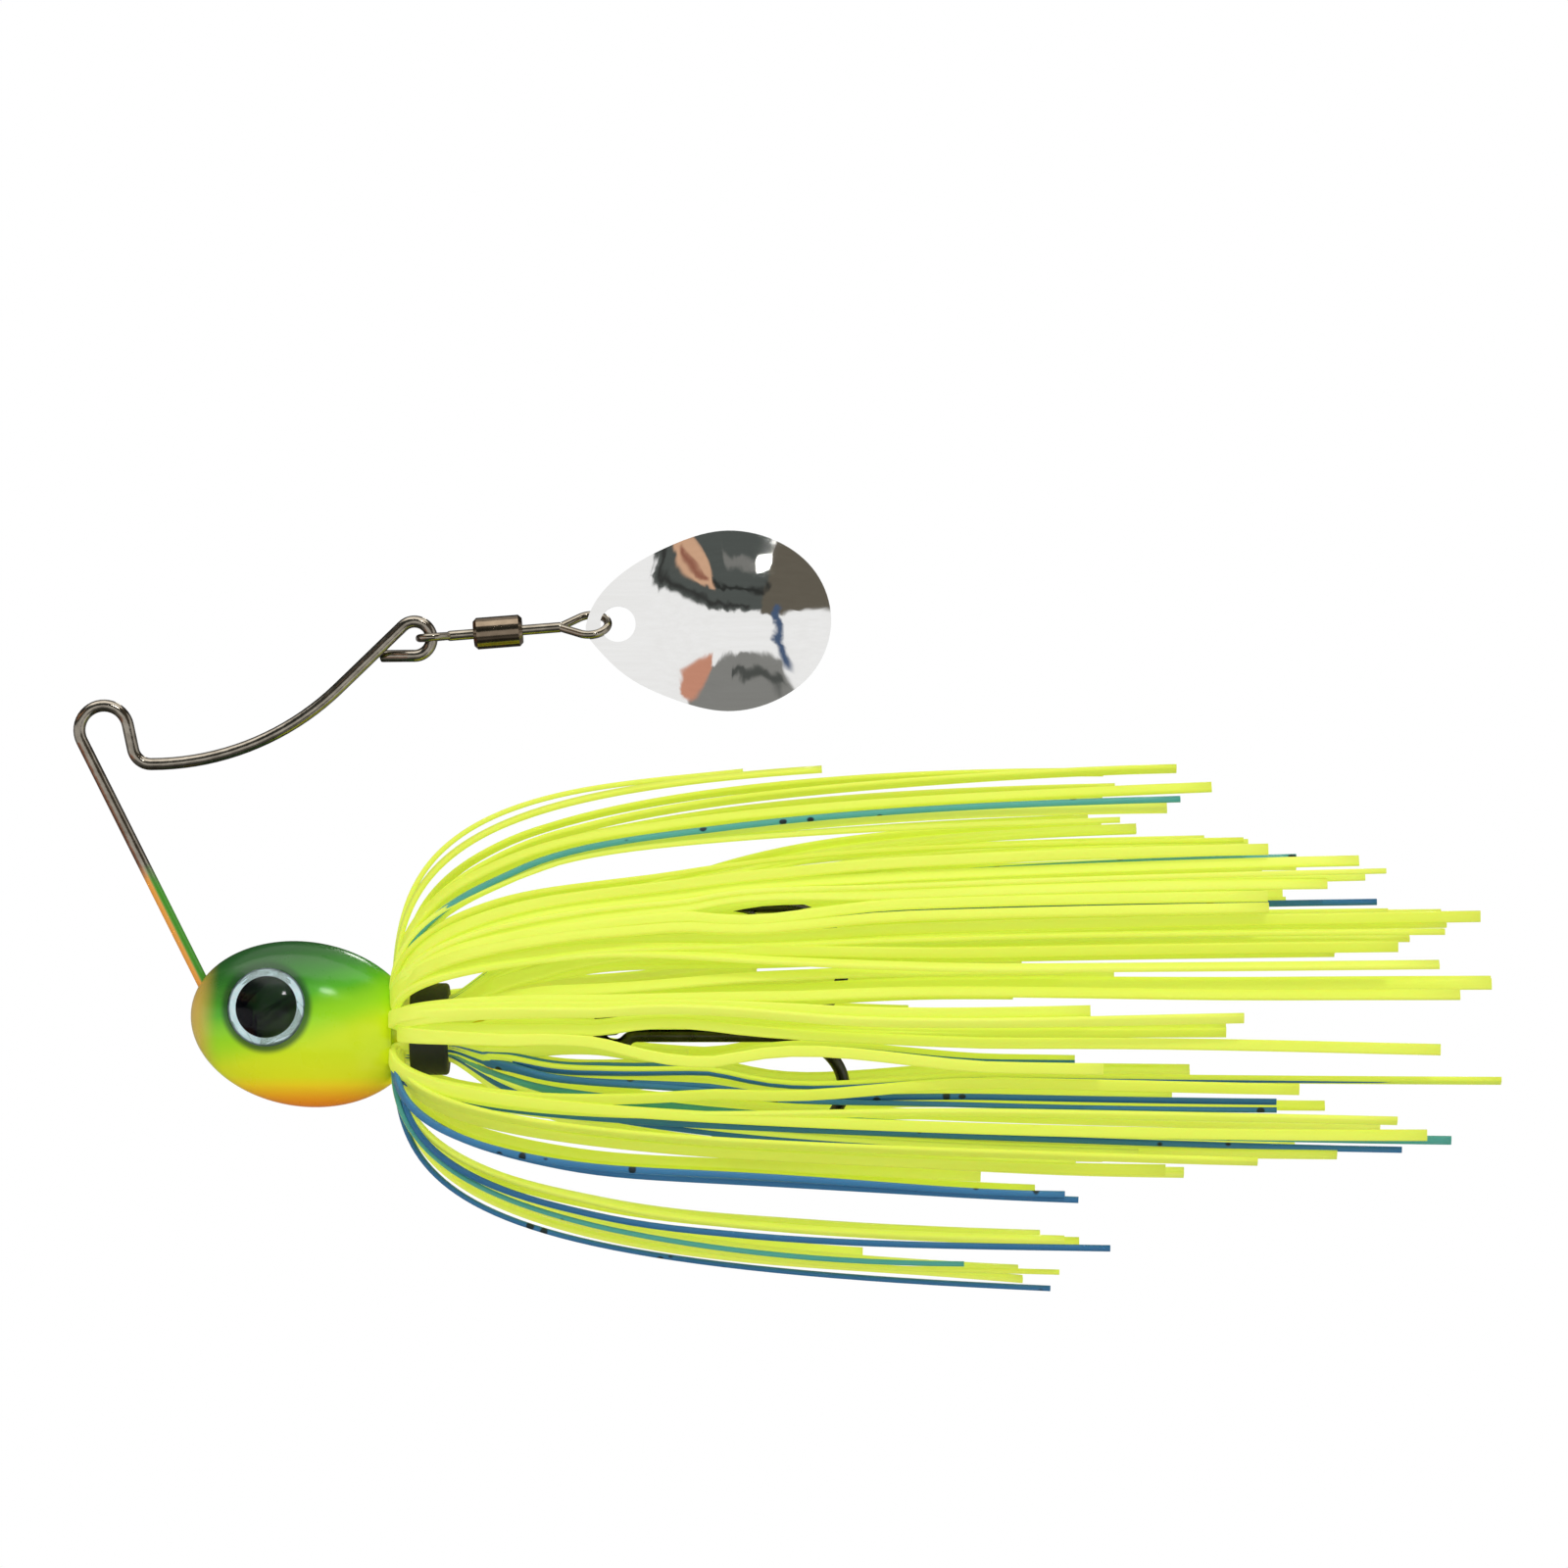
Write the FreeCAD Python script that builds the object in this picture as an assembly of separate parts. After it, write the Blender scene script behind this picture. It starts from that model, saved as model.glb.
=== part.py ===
import FreeCAD, Part

import math
import os

# Spinnerbait: a lead head cast on a bent steel wire that carries a spinning blade, with a
# silicone skirt held by a rubber band and a double hook that swings on a wire eye behind it.
#
# Frame, in millimetres: the origin is the centre of the line-tie bend, +X points to the tail,
# +Y to the lure's right-hand side and +Z up. The bent wire lies in the plane Y = 0.

Vector = FreeCAD.Vector
X_AXIS = Vector(1, 0, 0)
Y_AXIS = Vector(0, 1, 0)
Z_AXIS = Vector(0, 0, 1)

# ---- driving dimensions ------------------------------------------------------------------
WIRE_R = 0.5                    # frame wire and hanger wire
LINE_TIE_R = 2.0                # centreline radius of the line-tie bend
LEG_SLOPE = 63.4                # the leg's angle to the X axis
FOOT_Z = -23.0                  # the leg's foot lies flat inside the casting at this height
FOOT_BEND_R = 1.5
FOOT_LENGTH = 4.0
NECK_LEAN = 12.0                # lean of the short neck behind the line tie
NECK_LENGTH = 2.05
NECK_BEND_R = 1.5
ARM_R = 22.0                    # the arm's long sweep
ARM_RISE = 44.0                 # slope at which the sweep ends
ARM_STRAIGHT = 7.3
LOOP_R = 1.4                    # centreline radius of the closed loop at the arm's end
LOOP_TAIL = 2.3
LOOP_TAIL_SWERVE = 25.0         # the loop's tail swerves sideways to pass the arm

BODY_Z = -24.4                  # axis of the collar, the hanger and the skirt
HEAD_X = 16.4                   # middle of the egg-shaped head
HEAD_Z = -24.0
HEAD_HALF = (9.35, 4.7, 6.72)   # half length, half width and half height
HEAD_TILT = 8.5                 # the nose is raised by this much
SHOULDER_X = 23.6               # the egg is cut off square here

COLLAR_R = 2.2
RIDGE_START_X = 28.9            # a cone behind the band keeps it on the collar
RIDGE_X = 31.2
RIDGE_R = 4.0
RIM_DROP = 0.15                 # the ridge falls by this much to its square rear edge,
TAIL_START_X = 31.6
TAIL_STEP = 0.4                 # then steps down to the tail over this length
TAIL_START_R = 2.5
TAIL_END_X = 36.5
TAIL_END_R = 1.2

BAND_START_X = 25.1
BAND_LENGTH = 3.1
BAND_INNER_R = 2.73
BAND_OUTER_R = 3.75
BAND_EDGE_R = 0.3

EYE_X = 13.5
EYE_Z = -22.4
EYE_R = 3.2
EYE_PITCH = 9.0                 # the eye looks up by this much
EYE_YAW = 8.0                   # and forwards by this much
EYE_SUNK = 0.6                  # depth of the socket's floor at its middle
EYE_CLEARANCE = 0.05
FOIL_T = 0.12
LENS_H = 1.1

HANGER_R = 1.35                 # centreline radius of the loop that carries the hook
HANGER_LEG = 0.54               # each leg's distance from the middle line
HANGER_START_X = 20.0

HOOK_X = 41.7                   # middle of the hook's eye, where the hanger's wire passes
HOOK_WIRE_R = 0.525
HOOK_EYE_R = 1.35
HOOK_SHANK = 0.56               # each shank's distance from the middle line
HOOK_BEND_X = 55.2
HOOK_BEND_R = 5.2
HOOK_SPREAD = 60.0              # each bend's angle to the horizontal plane
HOOK_ROLL = 4.0
HOOK_POINT = 3.1                # straight part before the ground point
HOOK_TAPER = 3.0
HOOK_TIP_R = 0.045
BARB_LENGTH = 1.5
BARB_HEIGHT = 0.45
BARB_T = 0.35
BARB_LEAD = 0.2                 # the barb starts this far into the taper
BARB_ROOT = 0.42                # and this far from the middle of the wire
NECK_R = 1.2                    # radius at which a wire eye narrows to its two legs

SWIVEL_TILT = 4.5               # the swivel climbs by this much towards the tail
SWIVEL_WIRE_R = 0.33
STEM_R = 0.42
FRONT_EYE_R = 0.98
FRONT_EYE_REACH = 1.55          # from the eye's middle to where its sides meet
REAR_EYE_R = 1.45
REAR_EYE_REACH = 2.55
REAR_EYE_ROLL = 35.0
REAR_EYE_S = 14.4               # distance from the arm loop's middle to the rear eye's
BARREL_S = 4.85                 # distance from the arm loop's middle to the barrel
BARREL_LENGTH = 4.0
BARREL_R = 1.3
BARREL_END_R = 1.02             # the barrel's ends are rolled in to this radius
BARREL_ROLL = 0.28              # over this length
BARREL_WALL = 0.3
FIT = 0.06                      # radial play of the stems and their heads in the barrel
END_PLAY = 0.1
STEM_HEAD = 1.0                 # length of each stem's head inside the barrel

BLADE_T = 0.4
BLADE_HOLE_R = 1.45
BLADE_HOLE_OFFSET = 2.25        # from the rear eye's middle to the middle of the hole
BLADE_TIP = 2.6                 # from the blade's tip to the middle of the hole
BLADE_DOME = 3.0                # the cup's depth, starting from the flat tab
BLADE_DOME_X = 12.7             # deepest point, from the tip
BLADE_DOME_FRONT = 8.6
BLADE_DOME_SIDE = 12.0
BLADE_DROOP = 3.0               # the blade hangs this much below the swivel's axis
BLADE_BLANK_MARGIN = 1.0        # the sheet is pressed this much larger than the outline
BLADE_GRID = (25, 17)           # points along and across that the pressed sheet passes
# Half of the egg-shaped outline: distance from the tip, half height.
BLADE_OUTLINE = ((0.0, 0.0), (0.8, 1.85), (3.0, 4.1), (7.0, 6.25), (11.4, 7.35), (15.6, 6.45),
                 (18.6, 4.1), (20.0, 0.0))

STRAND_T = 0.4                  # a silicone lock's thickness
LOCK_WIDTH = 1.05               # its width under the band
LOCK_TAIL_WIDTH = 2.5
LOCK_SPREAD_X = (29.0, 62.0)    # it widens between these two stations
LOCK_FIRST_ANGLE = 15.0
ROOT_R = 2.45                   # distance of a lock from the axis under the band
FOLD_X = 24.0                   # foremost point of the fold ahead of the band
FOLD_R = 0.55
RIDGE_GAP = 0.45                # from the ridge's rim to the middle of a lock
CLIMB_LEAD = 0.5                # straight part of a lock behind the band,
CLIMB_END = 1.0                 # and the part of its climb that matches the ridge's slope
FOLDED_RISE = 0.62              # how far out a folded half rises before it turns back,
FOLDED_LEAN = 0.22              # how far back the turn reaches,
STRAIGHT_RISE = 0.35            # the same two for the straight half,
STRAIGHT_LEAN = 0.25
CROWN = 0.93                    # and the share of its end distance that either has there
LOCK_MARGIN = 1.0               # the cutting wedge is larger than the lock by this much
# The locks, from the lure's right-hand side round over the top: the distance from the axis
# and the station at which the folded half ends, then the same for the straight half.
LOCKS = ((13.0, 103.0, 8.5, 110.0), (17.5, 96.0, 10.3, 104.0), (21.0, 88.0, 16.5, 92.0),
         (21.2, 84.0, 17.2, 100.0), (17.0, 98.0, 10.5, 101.0), (13.0, 106.0, 8.5, 111.0),
         (12.0, 108.0, 8.0, 113.5), (15.5, 104.0, 10.5, 106.0), (20.4, 77.0, 16.5, 92.0),
         (21.3, 77.0, 17.2, 82.0), (15.5, 100.0, 10.3, 104.0), (12.0, 107.0, 8.0, 112.0))


# ---- helpers -----------------------------------------------------------------------------
def turned(vector, axis, degrees):
    """The vector rotated about an axis through the origin."""
    return FreeCAD.Rotation(axis, degrees).multVec(vector)


class BentWire:
    """A wire described the way it is bent: straight runs and tangent bends."""

    def __init__(self, start, heading):
        self.at = Vector(start)
        self.heading = Vector(heading).normalize()
        self.start = Vector(start)
        self.start_heading = Vector(self.heading)
        self.edges = []

    def straight(self, length):
        end = self.at + self.heading * length
        self.edges.append(Part.LineSegment(self.at, end).toShape())
        self.at = end
        return self

    def bend(self, radius, degrees, axis):
        """Turns about the axis by the right-hand rule; negative degrees turn the other way."""
        centre = self.at + axis.cross(self.heading) * math.copysign(radius, degrees)
        spoke = self.at - centre
        middle = centre + turned(spoke, axis, degrees / 2)
        end = centre + turned(spoke, axis, degrees)
        self.edges.append(Part.Arc(self.at, middle, end).toShape())
        self.at = end
        self.heading = turned(self.heading, axis, degrees)
        return self

    def sweep(self, profile):
        return Part.Wire(self.edges).makePipeShell([profile], True, False)

    def solid(self, radius):
        return self.sweep(Part.Wire(Part.makeCircle(radius, self.start, self.start_heading)))


def revolved(outline):
    """The solid made by turning a closed outline of (x, radius) corners round the body axis."""
    corners = [Vector(x, 0, BODY_Z + radius) for x, radius in outline]
    face = Part.Face(Part.makePolygon(corners + corners[:1]))
    return face.revolve(Vector(0, 0, BODY_Z), X_AXIS, 360)


def cleaned(shape):
    """The shape without leftover seams, checked to be one closed solid."""
    solids = shape.removeSplitter().Solids
    assert len(solids) == 1, f"{len(solids)} solids where one was meant"
    return solids[0]


def export(name, shape):
    assert shape.isValid(), f"{name} isn't valid"
    shape.exportStep(f"parts/{name}.step")
    print(f"{name}: {len(shape.Solids)} solid(s), {shape.Volume:.2f} mm3")


# ---- wire frame --------------------------------------------------------------------------
def wire_frame_path():
    """From the foot in the casting, up the leg, round the line tie and along the arm."""
    slope = math.radians(LEG_SLOPE)
    up = Vector(-math.cos(slope), 0, math.sin(slope))
    tangent = Vector(-up.z, 0, up.x) * LINE_TIE_R
    leg = (tangent.z - FOOT_Z) / up.z
    corner = tangent - up * leg
    cut = FOOT_BEND_R * math.tan(slope / 2)
    path = BentWire((corner.x + cut + FOOT_LENGTH, 0, FOOT_Z), (-1, 0, 0))
    path.straight(FOOT_LENGTH)
    path.bend(FOOT_BEND_R, LEG_SLOPE, Y_AXIS)
    path.straight(leg - cut)
    path.bend(LINE_TIE_R, 270 - LEG_SLOPE - NECK_LEAN, Y_AXIS)
    path.straight(NECK_LENGTH)
    path.bend(NECK_BEND_R, NECK_LEAN - 90, Y_AXIS)
    path.bend(ARM_R, -ARM_RISE, Y_AXIS)
    path.straight(ARM_STRAIGHT)
    return path


def arm_loop_centre():
    path = wire_frame_path()
    return path.at + Y_AXIS.cross(path.heading) * LOOP_R


def wire_frame():
    path = wire_frame_path()
    path.bend(LOOP_R, 180 + ARM_RISE, Y_AXIS)
    path.bend(LOOP_R, -LOOP_TAIL_SWERVE, Z_AXIS)
    path.straight(LOOP_TAIL)
    return path.solid(WIRE_R)


# ---- head --------------------------------------------------------------------------------
def eye_placement(side):
    """Places a part made along +Z, floor at the origin, in the socket on one side of the head.

    The side is -1 for the lure's left and +1 for its right.
    """
    outward = turned(Y_AXIS * side, X_AXIS, EYE_PITCH * side)
    outward = turned(outward, Z_AXIS, EYE_YAW * side)
    return FreeCAD.Placement(eye_middle(side) - outward * EYE_SUNK,
                             FreeCAD.Rotation(Z_AXIS, outward))


def eye_middle(side):
    """The point of the egg's surface in the middle of an eye."""
    length, width, height = HEAD_HALF
    local = turned(Vector(EYE_X - HEAD_X, 0, EYE_Z - HEAD_Z), Y_AXIS, -HEAD_TILT)
    out = width * math.sqrt(1 - (local.x / length) ** 2 - (local.z / height) ** 2)
    return Vector(EYE_X, side * out, EYE_Z)


def egg():
    length, width, height = HEAD_HALF
    scale = FreeCAD.Matrix()
    scale.scale(length, width, height)
    shape = Part.makeSphere(1.0).transformGeometry(scale)
    middle = Vector(HEAD_X, 0, HEAD_Z)
    shape.Placement = FreeCAD.Placement(middle, FreeCAD.Rotation(Y_AXIS, HEAD_TILT))
    behind = Part.makeBox(length, 4 * width, 4 * height,
                          Vector(SHOULDER_X, -2 * width, HEAD_Z - 2 * height))
    return shape.cut(behind)


def collar():
    """The collar, the cone that keeps the band on it, and the tapered tail."""
    return revolved([(HEAD_X, 0), (HEAD_X, COLLAR_R), (RIDGE_START_X, COLLAR_R),
                     (RIDGE_X, RIDGE_R), (TAIL_START_X, RIDGE_R - RIM_DROP),
                     (TAIL_START_X + TAIL_STEP, TAIL_START_R), (TAIL_END_X, TAIL_END_R),
                     (TAIL_END_X, 0)])


def head_casting(cast_in):
    casting = egg().fuse(collar())
    for side in (-1, 1):
        socket = Part.makeCylinder(EYE_R + EYE_CLEARANCE, 3 * EYE_R)
        socket.Placement = eye_placement(side)
        casting = casting.cut(socket)
    for wire in cast_in:
        casting = casting.cut(wire)
    return cleaned(casting)


def eye_foil(side):
    foil = Part.makeCylinder(EYE_R, FOIL_T)
    foil.Placement = eye_placement(side)
    return foil


def eye_lens(side):
    """A clear cap: the part of a ball that stands over the foil."""
    rise = LENS_H - FOIL_T
    ball_r = (EYE_R ** 2 + rise ** 2) / (2 * rise)
    ball = Part.makeSphere(ball_r, Vector(0, 0, LENS_H - ball_r))
    lens = ball.common(Part.makeCylinder(EYE_R, LENS_H, Vector(0, 0, FOIL_T)))
    lens.Placement = eye_placement(side)
    return cleaned(lens)


# ---- wire eyes ---------------------------------------------------------------------------
def keyhole_reach(eye_r, leg_offset):
    """Distance from the middle of a keyhole eye to where its legs become parallel."""
    return math.sqrt((eye_r + NECK_R) ** 2 - (leg_offset + NECK_R) ** 2)


def keyhole(path, eye_r, leg_offset, normal):
    """Adds a round eye whose wire comes in along one leg and leaves along the other."""
    opening = math.degrees(math.acos((leg_offset + NECK_R) / (eye_r + NECK_R)))
    path.bend(NECK_R, -opening, normal)
    path.bend(eye_r, 180 + 2 * opening, normal)
    path.bend(NECK_R, -opening, normal)


def hook_hanger():
    """Two legs cast into the collar and a level loop behind it."""
    loop_x = HOOK_X - HANGER_R
    legs = loop_x - keyhole_reach(HANGER_R, HANGER_LEG) - HANGER_START_X
    path = BentWire((HANGER_START_X, -HANGER_LEG, BODY_Z), X_AXIS)
    path.straight(legs)
    keyhole(path, HANGER_R, HANGER_LEG, Z_AXIS)
    path.straight(legs)
    return path.solid(WIRE_R)


# ---- hook --------------------------------------------------------------------------------
def hook_end(side):
    """One shank from the eye's narrow end, its bend and its ground point with the barb."""
    leg = Vector(HOOK_X + keyhole_reach(HOOK_EYE_R, HOOK_SHANK), 0, BODY_Z + side * HOOK_SHANK)
    across = turned(Y_AXIS, X_AXIS, side * HOOK_SPREAD)
    path = BentWire(leg, X_AXIS)
    path.straight(HOOK_BEND_X - leg.x)
    path.bend(HOOK_BEND_R, 180, X_AXIS.cross(across))
    path.straight(HOOK_POINT)
    tip = Part.makeCone(HOOK_WIRE_R, HOOK_TIP_R, HOOK_TAPER, path.at, path.heading)
    front = path.at - across * BARB_ROOT + path.heading * BARB_LEAD
    barb = Part.Face(Part.makePolygon([
        front,
        front - path.heading * BARB_LENGTH - across * BARB_HEIGHT,
        front - path.heading * (BARB_LENGTH / 2 + BARB_LEAD),
        front]))
    barb = barb.extrude(path.heading.cross(across) * BARB_T)
    barb.translate(across.cross(path.heading) * (BARB_T / 2))
    return path.solid(HOOK_WIRE_R).fuse(tip).fuse(barb)


def double_hook():
    leg_x = HOOK_X + keyhole_reach(HOOK_EYE_R, HOOK_SHANK)
    path = BentWire((leg_x, 0, BODY_Z + HOOK_SHANK), (-1, 0, 0))
    keyhole(path, HOOK_EYE_R, HOOK_SHANK, -Y_AXIS)
    hook = cleaned(path.solid(HOOK_WIRE_R).fuse(hook_end(1)).fuse(hook_end(-1)))
    hook.rotate(Vector(HOOK_X, 0, BODY_Z), X_AXIS, HOOK_ROLL)
    return hook


# ---- swivel ------------------------------------------------------------------------------
def on_swivel(shape, roll=0.0):
    """Moves a part made along +X from the origin to the swivel's axis at the arm's loop."""
    turn = FreeCAD.Rotation(Y_AXIS, -SWIVEL_TILT).multiply(FreeCAD.Rotation(X_AXIS, roll))
    shape.Placement = FreeCAD.Placement(arm_loop_centre(), turn).multiply(shape.Placement)
    return shape


def swivel_eye(middle, eye_r, reach, towards):
    """A level teardrop eye at a distance along the axis, its stem, and the stem's head."""
    half_angle = math.asin(eye_r / reach)
    apex = Vector(middle + towards * reach, 0, 0)
    ring = None
    for side in (-1, 1):
        heading = turned(Vector(-towards, 0, 0), Z_AXIS, side * math.degrees(half_angle))
        path = BentWire(apex, heading)
        path.straight(math.sqrt(reach ** 2 - eye_r ** 2))
        path.bend(eye_r, -side * (90 + math.degrees(half_angle)), Z_AXIS)
        half = path.solid(SWIVEL_WIRE_R)
        ring = half if ring is None else ring.fuse(half)
    inside = BARREL_WALL + END_PLAY
    near = BARREL_S + inside if towards > 0 else BARREL_S + BARREL_LENGTH - inside
    along = Vector(towards, 0, 0)
    stem = Part.makeCylinder(STEM_R, abs(near - apex.x), apex, along)
    stem = stem.fuse(Part.makeSphere(STEM_R, apex))
    head_r = BARREL_R - BARREL_WALL - FIT
    head = Part.makeCylinder(head_r, STEM_HEAD, Vector(near, 0, 0), along)
    return cleaned(ring.fuse(stem).fuse(head))


def swivel_front_eye():
    return on_swivel(swivel_eye(LOOP_R, FRONT_EYE_R, FRONT_EYE_REACH, 1))


def swivel_rear_eye():
    return on_swivel(swivel_eye(REAR_EYE_S, REAR_EYE_R, REAR_EYE_REACH, -1), REAR_EYE_ROLL)


def swivel_barrel():
    end = BARREL_S + BARREL_LENGTH
    outline = [(BARREL_S, 0), (BARREL_S, BARREL_END_R), (BARREL_S + BARREL_ROLL, BARREL_R),
               (end - BARREL_ROLL, BARREL_R), (end, BARREL_END_R), (end, 0)]
    corners = [Vector(x, 0, radius) for x, radius in outline]
    barrel = Part.Face(Part.makePolygon(corners + corners[:1])).revolve(Vector(), X_AXIS, 360)
    bore = Part.makeCylinder(BARREL_R - BARREL_WALL, BARREL_LENGTH - 2 * BARREL_WALL,
                             Vector(BARREL_S + BARREL_WALL, 0, 0), X_AXIS)
    holes = Part.makeCylinder(STEM_R + FIT, BARREL_LENGTH, Vector(BARREL_S, 0, 0), X_AXIS)
    return on_swivel(cleaned(barrel.cut(bore).cut(holes)))


# ---- blade -------------------------------------------------------------------------------
def dome_height(x, z):
    """Height of the pressed cup over the flat tab; x is measured from the blade's tip."""
    length = BLADE_DOME_FRONT if x < BLADE_DOME_X else BLADE_DOME_SIDE
    nearness = 1 - ((x - BLADE_DOME_X) / length) ** 2 - (z / BLADE_DOME_SIDE) ** 2
    return BLADE_DOME * max(nearness, 0.0) ** 2


def blade():
    """A cupped teardrop with a flat tab, its convex side to the lure's left."""
    margin = BLADE_BLANK_MARGIN
    length = BLADE_OUTLINE[-1][0] + 2 * margin
    half = max(z for x, z in BLADE_OUTLINE) + margin
    columns, rows = BLADE_GRID
    grid = []
    for column in range(columns):
        x = length * column / (columns - 1) - margin
        heights = [half * (2 * row / (rows - 1) - 1) for row in range(rows)]
        grid.append([Vector(x, -dome_height(x, z), z) for z in heights])
    surface = Part.BSplineSurface()
    surface.interpolate(grid)
    sheet = surface.toShape().extrude(Vector(0, BLADE_T, 0))

    upper = [Vector(x, 0, z) for x, z in BLADE_OUTLINE]
    lower = [Vector(x, 0, -z) for x, z in reversed(BLADE_OUTLINE[1:-1])]
    outline = Part.BSplineCurve()
    outline.interpolate(upper + lower, PeriodicFlag=True)
    depth = 4 * BLADE_DOME
    blank = Part.Face(Part.Wire(outline.toShape())).extrude(Vector(0, depth, 0))
    blank.translate(Vector(0, -depth / 2, 0))
    hole = Part.makeCylinder(BLADE_HOLE_R, depth, Vector(BLADE_TIP, -depth / 2, 0), Y_AXIS)
    shape = cleaned(sheet.common(blank).cut(hole))
    tip_s = REAR_EYE_S + BLADE_HOLE_OFFSET - BLADE_TIP
    shape.translate(Vector(tip_s, -BLADE_T / 2, 0))
    shape.rotate(Vector(REAR_EYE_S, 0, 0), Y_AXIS, BLADE_DROOP)
    return on_swivel(shape)


# ---- skirt -------------------------------------------------------------------------------
def skirt_band():
    tube = revolved([(BAND_START_X, BAND_INNER_R), (BAND_START_X, BAND_OUTER_R),
                     (BAND_START_X + BAND_LENGTH, BAND_OUTER_R),
                     (BAND_START_X + BAND_LENGTH, BAND_INNER_R)])
    rims = [edge for edge in tube.Edges if abs(edge.BoundBox.ZMax - BODY_Z - BAND_OUTER_R) < 0.01
            and edge.BoundBox.XLength < 0.01]
    return tube.makeFillet(BAND_EDGE_R, rims)


def bezier(*poles):
    """A smooth curve from (x, distance from the axis) poles, drawn above the axis."""
    curve = Part.BezierCurve()
    curve.setPoles([Vector(x, 0, BODY_Z + radius) for x, radius in poles])
    return curve.toShape()


def lock_centreline(folded_r, folded_end, straight_r, straight_end):
    """From the folded half's tip, forward over the band, round the fold and back under it."""
    fold_top = ROOT_R + FOLD_R
    folded = bezier((folded_end, folded_r),
                    (FOLD_X + FOLDED_LEAN * (folded_end - FOLD_X), CROWN * folded_r),
                    (FOLD_X, fold_top + FOLDED_RISE * (folded_r - fold_top)),
                    (FOLD_X, fold_top))
    fold_centre = Vector(FOLD_X + FOLD_R, 0, BODY_Z + fold_top)
    fold = Part.Arc(fold_centre - X_AXIS * FOLD_R,
                    fold_centre - (X_AXIS + Z_AXIS) * (FOLD_R / math.sqrt(2)),
                    fold_centre - Z_AXIS * FOLD_R).toShape()
    band_end = BAND_START_X + BAND_LENGTH
    under = Part.LineSegment(fold_centre - Z_AXIS * FOLD_R,
                             Vector(band_end, 0, BODY_Z + ROOT_R)).toShape()
    slope = (RIDGE_R - COLLAR_R) / (RIDGE_X - RIDGE_START_X)
    over_r = RIDGE_R + RIDGE_GAP
    climb = bezier((band_end, ROOT_R), (band_end + CLIMB_LEAD, ROOT_R),
                   (RIDGE_X - CLIMB_END, over_r - CLIMB_END * slope), (RIDGE_X, over_r))
    rise = STRAIGHT_RISE * (straight_r - over_r)
    straight = bezier((RIDGE_X, over_r), (RIDGE_X + rise / slope, over_r + rise),
                      (RIDGE_X + STRAIGHT_LEAN * (straight_end - RIDGE_X), CROWN * straight_r),
                      (straight_end, straight_r))
    return Part.Wire([folded, fold, under, climb, straight])


def skirt_lock(number):
    """A flat lock of silicone, narrow under the band and wider towards both of its ends."""
    centreline = lock_centreline(*LOCKS[number])
    start = centreline.Vertexes[0].Point
    heading = centreline.OrderedEdges[0].tangentAt(centreline.OrderedEdges[0].FirstParameter)
    normal = Y_AXIS.cross(heading)
    corners = [start + Y_AXIS * (a * LOCK_TAIL_WIDTH / 2) + normal * (b * STRAND_T / 2)
               for a, b in ((-1, -1), (1, -1), (1, 1), (-1, 1))]
    profile = Part.makePolygon(corners + corners[:1])
    ribbon = centreline.makePipeShell([profile], True, False)

    narrow_x, wide_x = LOCK_SPREAD_X
    folded_r, folded_end, straight_r, straight_end = LOCKS[number]
    end_x = max(folded_end, straight_end) + LOCK_MARGIN
    height = max(folded_r, straight_r) + LOCK_MARGIN
    plan = [(FOLD_X - LOCK_MARGIN, LOCK_WIDTH), (narrow_x, LOCK_WIDTH), (wide_x, LOCK_TAIL_WIDTH),
            (end_x, LOCK_TAIL_WIDTH)]
    outline = [Vector(x, width / 2, BODY_Z) for x, width in plan]
    outline += [Vector(x, -width / 2, BODY_Z) for x, width in reversed(plan)]
    wedge = Part.Face(Part.makePolygon(outline + outline[:1])).extrude(Z_AXIS * height)
    lock = cleaned(ribbon.common(wedge))
    angle = LOCK_FIRST_ANGLE + 360 * number / len(LOCKS)
    lock.rotate(Vector(0, 0, BODY_Z), X_AXIS, angle - 90)
    return lock


# ---- assembly ----------------------------------------------------------------------------
def main():
    os.makedirs("parts", exist_ok=True)
    frame = wire_frame()
    hanger = hook_hanger()
    export("wire_frame", frame)
    export("hook_hanger", hanger)
    export("head_casting", head_casting([frame, hanger]))
    for name, side in (("left", -1), ("right", 1)):
        export(f"{name}_eye_foil", eye_foil(side))
        export(f"{name}_eye_lens", eye_lens(side))
    export("double_hook", double_hook())
    export("swivel_front_eye", swivel_front_eye())
    export("swivel_rear_eye", swivel_rear_eye())
    export("swivel_barrel", swivel_barrel())
    export("blade", blade())
    export("skirt_band", skirt_band())
    for number in range(len(LOCKS)):
        export(f"skirt_lock_{number + 1:02d}", skirt_lock(number))


main()
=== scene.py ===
import math
import random

import bpy
import numpy as np
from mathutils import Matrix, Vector

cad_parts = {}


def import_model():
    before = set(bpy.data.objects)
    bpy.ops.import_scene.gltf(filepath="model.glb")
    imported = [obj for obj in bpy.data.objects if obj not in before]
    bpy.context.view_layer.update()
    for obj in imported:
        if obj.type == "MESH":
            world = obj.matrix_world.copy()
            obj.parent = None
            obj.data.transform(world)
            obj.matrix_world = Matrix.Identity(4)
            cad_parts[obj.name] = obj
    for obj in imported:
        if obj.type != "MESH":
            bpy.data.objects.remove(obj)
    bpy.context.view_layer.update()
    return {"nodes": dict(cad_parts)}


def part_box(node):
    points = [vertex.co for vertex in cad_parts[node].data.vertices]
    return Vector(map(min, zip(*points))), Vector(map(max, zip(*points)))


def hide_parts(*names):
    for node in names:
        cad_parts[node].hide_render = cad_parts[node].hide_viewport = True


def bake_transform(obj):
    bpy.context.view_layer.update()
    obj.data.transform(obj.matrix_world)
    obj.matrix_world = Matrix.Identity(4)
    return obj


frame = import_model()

# The looks of a spinnerbait, in metres: the silicone skirt strand by strand, and a material
# for every part that comes from the CAD model.

MM = 0.001

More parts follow.
